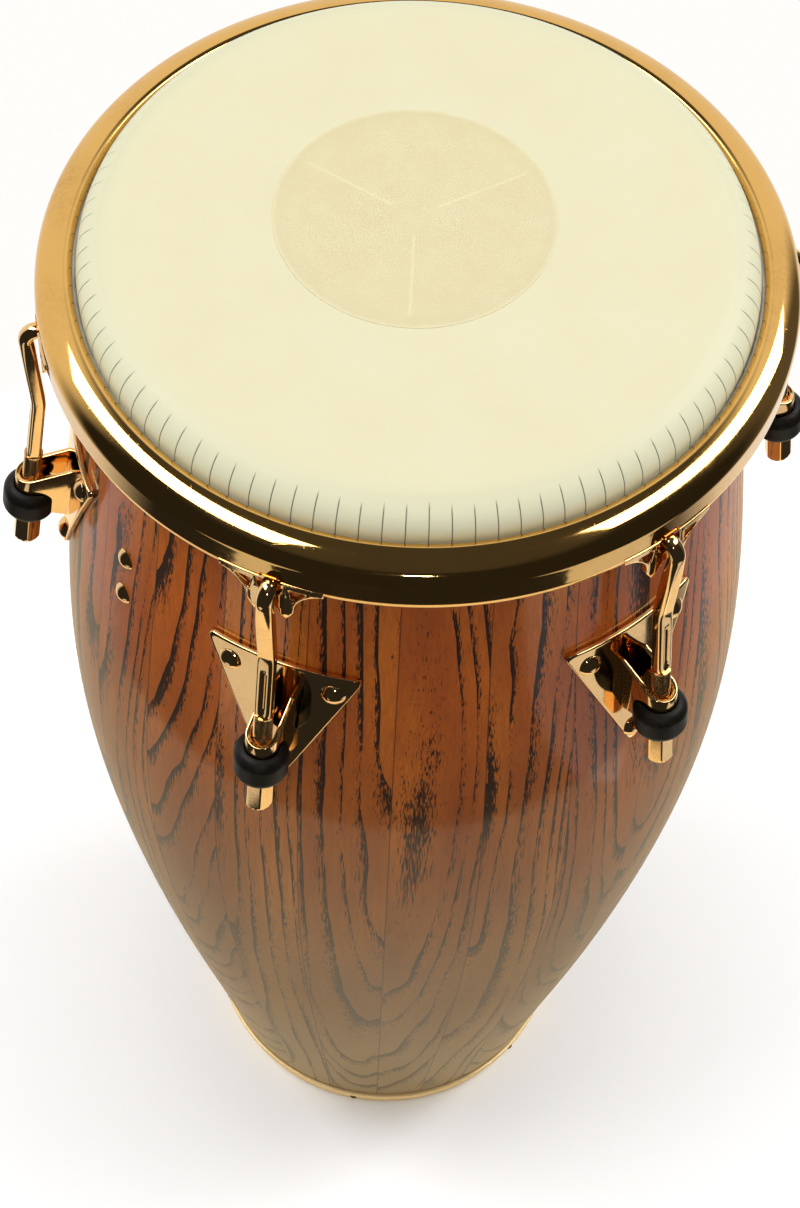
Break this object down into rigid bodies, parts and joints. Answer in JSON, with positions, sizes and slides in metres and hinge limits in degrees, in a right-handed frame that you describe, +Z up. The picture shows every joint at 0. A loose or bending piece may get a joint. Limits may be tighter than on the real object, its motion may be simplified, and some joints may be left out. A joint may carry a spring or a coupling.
{
  "type": "conga drum",
  "caption": "Tall barrel-shaped staved wooden conga drum with a tuned synthetic head, a gold-plated rim with hooked tuning lugs, side plates and a bottom band.",
  "frame": {"origin": "centre of the shell's open bottom end, on the floor", "axes": "+Z up along the drum's axis to the head; the first lug stands 11 degrees round from +X towards +Y; -Y is the front"},
  "size_m": [0.4112, 0.3972, 0.762],
  "materials": {
    "stave_wood": "gloss lacquer over dark-grained ash, amber at the top and smoky brown below",
    "ring_wood": "plain sanded wood",
    "gold_plate": "polished gold plating",
    "gold_band": "satin gold",
    "dark_steel": "darkened steel",
    "inner_steel": "zinc-plated steel",
    "hoop_aluminium": "plain aluminium",
    "head_film": "cream film with a fine matt surface",
    "head_patch": "woven cream patch",
    "black_rubber": "smooth black rubber"
  },
  "bodies": {
    "shell": {"shell_staves": "stave_wood", "bearing_edge_ring": "ring_wood", "bottom_band": "gold_band", "bottom_band_nails": "dark_steel", "shell_screws": "gold_plate", "shell_screw_nuts": "inner_steel", "head_skin": "head_film", "head_centre_patch": "head_patch", "head_flesh_hoop": "hoop_aluminium", "side_plate_bolts": "gold_plate", "side_plate_bolt_nuts": "inner_steel", "side_plate_1": "gold_plate", "side_plate_2": "gold_plate", "side_plate_3": "gold_plate", "side_plate_4": "gold_plate", "side_plate_5": "gold_plate", "side_plate_6": "gold_plate", "strap_1": "gold_plate", "strap_2": "gold_plate", "strap_3": "gold_plate", "strap_4": "gold_plate", "strap_5": "gold_plate", "strap_6": "gold_plate", "backing_plate_1": "inner_steel", "backing_plate_2": "inner_steel", "backing_plate_3": "inner_steel", "backing_plate_4": "inner_steel", "backing_plate_5": "inner_steel", "backing_plate_6": "inner_steel", "lug_washer_1": "gold_plate", "lug_washer_2": "gold_plate", "lug_washer_3": "gold_plate", "lug_washer_4": "gold_plate", "lug_washer_5": "gold_plate", "lug_washer_6": "gold_plate", "bumper_1": "black_rubber", "bumper_2": "black_rubber", "bumper_3": "black_rubber", "bumper_4": "black_rubber", "bumper_5": "black_rubber", "bumper_6": "black_rubber"},
    "rim": {"rim": "gold_plate"},
    "hook_1": {"hook_1": "gold_plate"},
    "lug_nut_1": {"lug_nut_1": "gold_plate"},
    "hook_2": {"hook_2": "gold_plate"},
    "lug_nut_2": {"lug_nut_2": "gold_plate"},
    "hook_3": {"hook_3": "gold_plate"},
    "lug_nut_3": {"lug_nut_3": "gold_plate"},
    "hook_4": {"hook_4": "gold_plate"},
    "lug_nut_4": {"lug_nut_4": "gold_plate"},
    "hook_5": {"hook_5": "gold_plate"},
    "lug_nut_5": {"lug_nut_5": "gold_plate"},
    "hook_6": {"hook_6": "gold_plate"},
    "lug_nut_6": {"lug_nut_6": "gold_plate"}
  },
  "joints": [
    {"name": "rim_slide", "type": "slide", "parent": "shell", "child": "rim", "axis": [0, 0, 1], "range_m": [0, 0.01]},
    {"name": "hook_1_slide", "type": "slide", "parent": "shell", "child": "hook_1", "axis": [-0.1366, -0.0266, 0.9903], "range_m": [0, 0.0102]},
    {"name": "lug_nut_1_turn", "type": "hinge", "parent": "shell", "child": "lug_nut_1", "pos_m": [0.19423, 0.03776, 0.57012], "axis": [-0.1366, -0.0266, 0.9903], "range_deg": [-2292, 0]},
    {"name": "hook_2_slide", "type": "slide", "parent": "shell", "child": "hook_2", "axis": [-0.0453, -0.1316, 0.9903], "range_m": [0, 0.0102]},
    {"name": "lug_nut_2_turn", "type": "hinge", "parent": "shell", "child": "lug_nut_2", "pos_m": [0.06442, 0.18709, 0.57012], "axis": [-0.0453, -0.1316, 0.9903], "range_deg": [-2292, 0]},
    {"name": "hook_3_slide", "type": "slide", "parent": "shell", "child": "hook_3", "axis": [0.0913, -0.105, 0.9903], "range_m": [0, 0.0102]},
    {"name": "lug_nut_3_turn", "type": "hinge", "parent": "shell", "child": "lug_nut_3", "pos_m": [-0.12981, 0.14933, 0.57012], "axis": [0.0913, -0.105, 0.9903], "range_deg": [-2292, 0]},
    {"name": "hook_4_slide", "type": "slide", "parent": "shell", "child": "hook_4", "axis": [0.1366, 0.0266, 0.9903], "range_m": [0, 0.0102]},
    {"name": "lug_nut_4_turn", "type": "hinge", "parent": "shell", "child": "lug_nut_4", "pos_m": [-0.19423, -0.03776, 0.57012], "axis": [0.1366, 0.0266, 0.9903], "range_deg": [-2292, 0]},
    {"name": "hook_5_slide", "type": "slide", "parent": "shell", "child": "hook_5", "axis": [0.0453, 0.1316, 0.9903], "range_m": [0, 0.0102]},
    {"name": "lug_nut_5_turn", "type": "hinge", "parent": "shell", "child": "lug_nut_5", "pos_m": [-0.06442, -0.18709, 0.57012], "axis": [0.0453, 0.1316, 0.9903], "range_deg": [-2292, 0]},
    {"name": "hook_6_slide", "type": "slide", "parent": "shell", "child": "hook_6", "axis": [-0.0913, 0.105, 0.9903], "range_m": [0, 0.0102]},
    {"name": "lug_nut_6_turn", "type": "hinge", "parent": "shell", "child": "lug_nut_6", "pos_m": [0.12981, -0.14933, 0.57012], "axis": [-0.0913, 0.105, 0.9903], "range_deg": [-2292, 0]}
  ],
  "couplings": [
    {"joint": "hook_1_slide", "follows": "rim_slide", "ratio": 1.0098},
    {"joint": "lug_nut_1_turn", "follows": "rim_slide", "rad_per_m": -3996.8},
    {"joint": "hook_2_slide", "follows": "rim_slide", "ratio": 1.0098},
    {"joint": "lug_nut_2_turn", "follows": "rim_slide", "rad_per_m": -3996.8},
    {"joint": "hook_3_slide", "follows": "rim_slide", "ratio": 1.0098},
    {"joint": "lug_nut_3_turn", "follows": "rim_slide", "rad_per_m": -3996.8},
    {"joint": "hook_4_slide", "follows": "rim_slide", "ratio": 1.0098},
    {"joint": "lug_nut_4_turn", "follows": "rim_slide", "rad_per_m": -3996.8},
    {"joint": "hook_5_slide", "follows": "rim_slide", "ratio": 1.0098},
    {"joint": "lug_nut_5_turn", "follows": "rim_slide", "rad_per_m": -3996.8},
    {"joint": "hook_6_slide", "follows": "rim_slide", "ratio": 1.0098},
    {"joint": "lug_nut_6_turn", "follows": "rim_slide", "rad_per_m": -3996.8}
  ]
}
